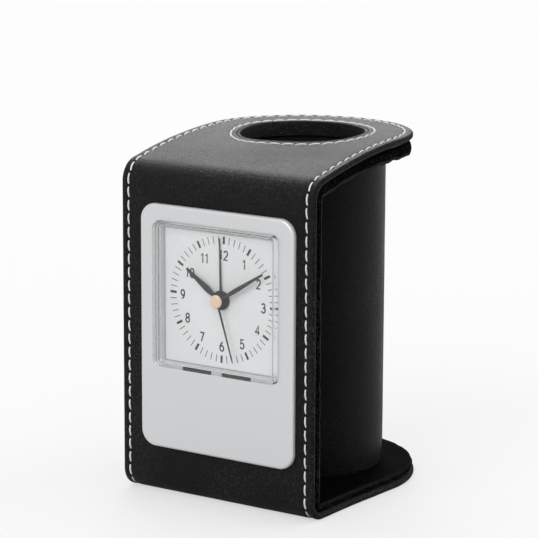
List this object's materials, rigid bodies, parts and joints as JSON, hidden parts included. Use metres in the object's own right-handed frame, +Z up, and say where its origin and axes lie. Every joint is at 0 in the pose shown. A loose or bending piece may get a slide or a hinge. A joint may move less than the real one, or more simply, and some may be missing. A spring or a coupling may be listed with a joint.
{
  "type": "pen holder clock",
  "caption": "Desk pen cup held in a bent, stitched leather-covered panel, with a square-lens quartz alarm clock set in a metal plate on its upright front.",
  "frame": {"origin": "middle of the part's box in plan, on the surface that the base stands on", "axes": "+X to the right as seen from the front, +Y from the clock towards the round rear end, +Z up"},
  "size_m": [0.0658, 0.0786, 0.1],
  "materials": {
    "leather": "black grained leatherette",
    "cup_leather": "black smooth leatherette",
    "card": "plain greyboard",
    "lining": "black brushed cloth",
    "face_metal": "satin silver with a bright rounded edge",
    "clear_plastic": "clear moulded plastic",
    "dial_white": "white printed dial",
    "hand_grey": "dark grey",
    "copper_cap": "copper-coloured cap",
    "case_grey": "pale grey moulded plastic",
    "case_black": "black moulded plastic",
    "switch_grey": "grey moulded plastic",
    "steel": "plain steel",
    "nylon": "natural nylon",
    "magnet": "dark sintered magnet",
    "copper_wire": "enamelled copper wire",
    "brass": "plain brass",
    "board_green": "green lacquered board"
  },
  "bodies": {
    "holder": {"outer_cover": "leather", "inner_cover": "leather", "hole_binding": "leather", "front_stiffener": "card", "top_stiffener": "card", "base_stiffener": "card", "front_board": "card", "top_board": "card", "base_board": "card", "cup_cover": "cup_leather", "cup_tube": "card", "cup_lining": "lining", "cup_floor_pad": "lining", "face_plate": "face_metal", "lens": "clear_plastic", "dial": "dial_white", "movement_front": "case_grey", "movement_rear": "case_black", "middle_plate": "case_black", "case_screw_1": "steel", "case_screw_2": "steel", "case_screw_3": "steel", "case_screw_4": "steel", "stator": "steel", "coil_core": "steel", "coil_bobbin": "nylon", "coil_winding": "copper_wire", "button_cell": "steel", "cell_contact_front": "brass", "cell_contact_side": "brass", "circuit_board": "board_green", "clock_chip": "case_black", "quartz_crystal": "steel", "buzzer_disc": "brass"},
    "seconds": {"second_hand": "hand_grey", "second_hand_cap": "copper_cap", "seconds_wheel": "steel"},
    "intermediate": {"intermediate_wheel": "nylon"},
    "rotor": {"rotor_pinion": "nylon", "rotor_magnet": "magnet"},
    "third": {"third_wheel": "nylon"},
    "centre": {"centre_wheel": "nylon"},
    "minutes": {"minute_hand": "hand_grey", "minute_pinion": "nylon"},
    "motion": {"motion_wheel": "nylon"},
    "hours": {"hour_hand": "hand_grey", "hour_wheel": "nylon"},
    "time_setter": {"time_set_shaft": "nylon", "time_set_knob": "case_black"},
    "alarm": {"alarm_hand": "hand_grey", "alarm_wheel": "nylon"},
    "alarm_setter": {"alarm_set_shaft": "nylon", "alarm_set_knob": "case_black"},
    "switch": {"alarm_switch": "switch_grey"},
    "door": {"battery_door": "case_black"}
  },
  "joints": [
    {"name": "second_hand_spin", "type": "hinge", "parent": "holder", "child": "seconds", "pos_m": [0.001, -0.0363, 0.058], "axis": [0, 1, 0], "continuous": true},
    {"name": "intermediate_spin", "type": "hinge", "parent": "holder", "child": "intermediate", "pos_m": [-0.00215, -0.0363, 0.06346], "axis": [0, 1, 0], "continuous": true},
    {"name": "rotor_spin", "type": "hinge", "parent": "holder", "child": "rotor", "pos_m": [-0.00509, -0.0363, 0.06855], "axis": [0, 1, 0], "continuous": true},
    {"name": "third_spin", "type": "hinge", "parent": "holder", "child": "third", "pos_m": [0.00483, -0.0363, 0.05137], "axis": [0, 1, 0], "continuous": true},
    {"name": "centre_spin", "type": "hinge", "parent": "holder", "child": "centre", "pos_m": [0.001, -0.0363, 0.058], "axis": [0, 1, 0], "continuous": true},
    {"name": "minute_hand_spin", "type": "hinge", "parent": "holder", "child": "minutes", "pos_m": [0.001, -0.0363, 0.058], "axis": [0, 1, 0], "continuous": true},
    {"name": "motion_spin", "type": "hinge", "parent": "holder", "child": "motion", "pos_m": [0.009, -0.0363, 0.058], "axis": [0, 1, 0], "continuous": true},
    {"name": "hour_hand_spin", "type": "hinge", "parent": "holder", "child": "hours", "pos_m": [0.001, -0.0363, 0.058], "axis": [0, 1, 0], "continuous": true},
    {"name": "time_knob_spin", "type": "hinge", "parent": "holder", "child": "time_setter", "pos_m": [0.017, -0.0363, 0.058], "axis": [0, 1, 0], "continuous": true},
    {"name": "alarm_hand_spin", "type": "hinge", "parent": "holder", "child": "alarm", "pos_m": [0.001, -0.0363, 0.058], "axis": [0, 1, 0], "continuous": true},
    {"name": "alarm_knob_spin", "type": "hinge", "parent": "holder", "child": "alarm_setter", "pos_m": [-0.01132, -0.0363, 0.058], "axis": [0, 1, 0], "continuous": true},
    {"name": "alarm_switch_slide", "type": "slide", "parent": "holder", "child": "switch", "axis": [1, 0, 0], "range_m": [0, 0.003]},
    {"name": "battery_door_slide", "type": "slide", "parent": "holder", "child": "door", "axis": [0, 0, -1], "range_m": [0, 0.012]}
  ],
  "couplings": [
    {"joint": "intermediate_spin", "follows": "second_hand_spin", "ratio": -5},
    {"joint": "rotor_spin", "follows": "second_hand_spin", "ratio": 30},
    {"joint": "third_spin", "follows": "second_hand_spin", "ratio": -0.13333},
    {"joint": "centre_spin", "follows": "second_hand_spin", "ratio": 0.016667},
    {"joint": "motion_spin", "follows": "minute_hand_spin", "ratio": -0.33333},
    {"joint": "hour_hand_spin", "follows": "minute_hand_spin", "ratio": 0.083333},
    {"joint": "time_knob_spin", "follows": "minute_hand_spin", "ratio": 1},
    {"joint": "alarm_knob_spin", "follows": "alarm_hand_spin", "ratio": -3}
  ]
}
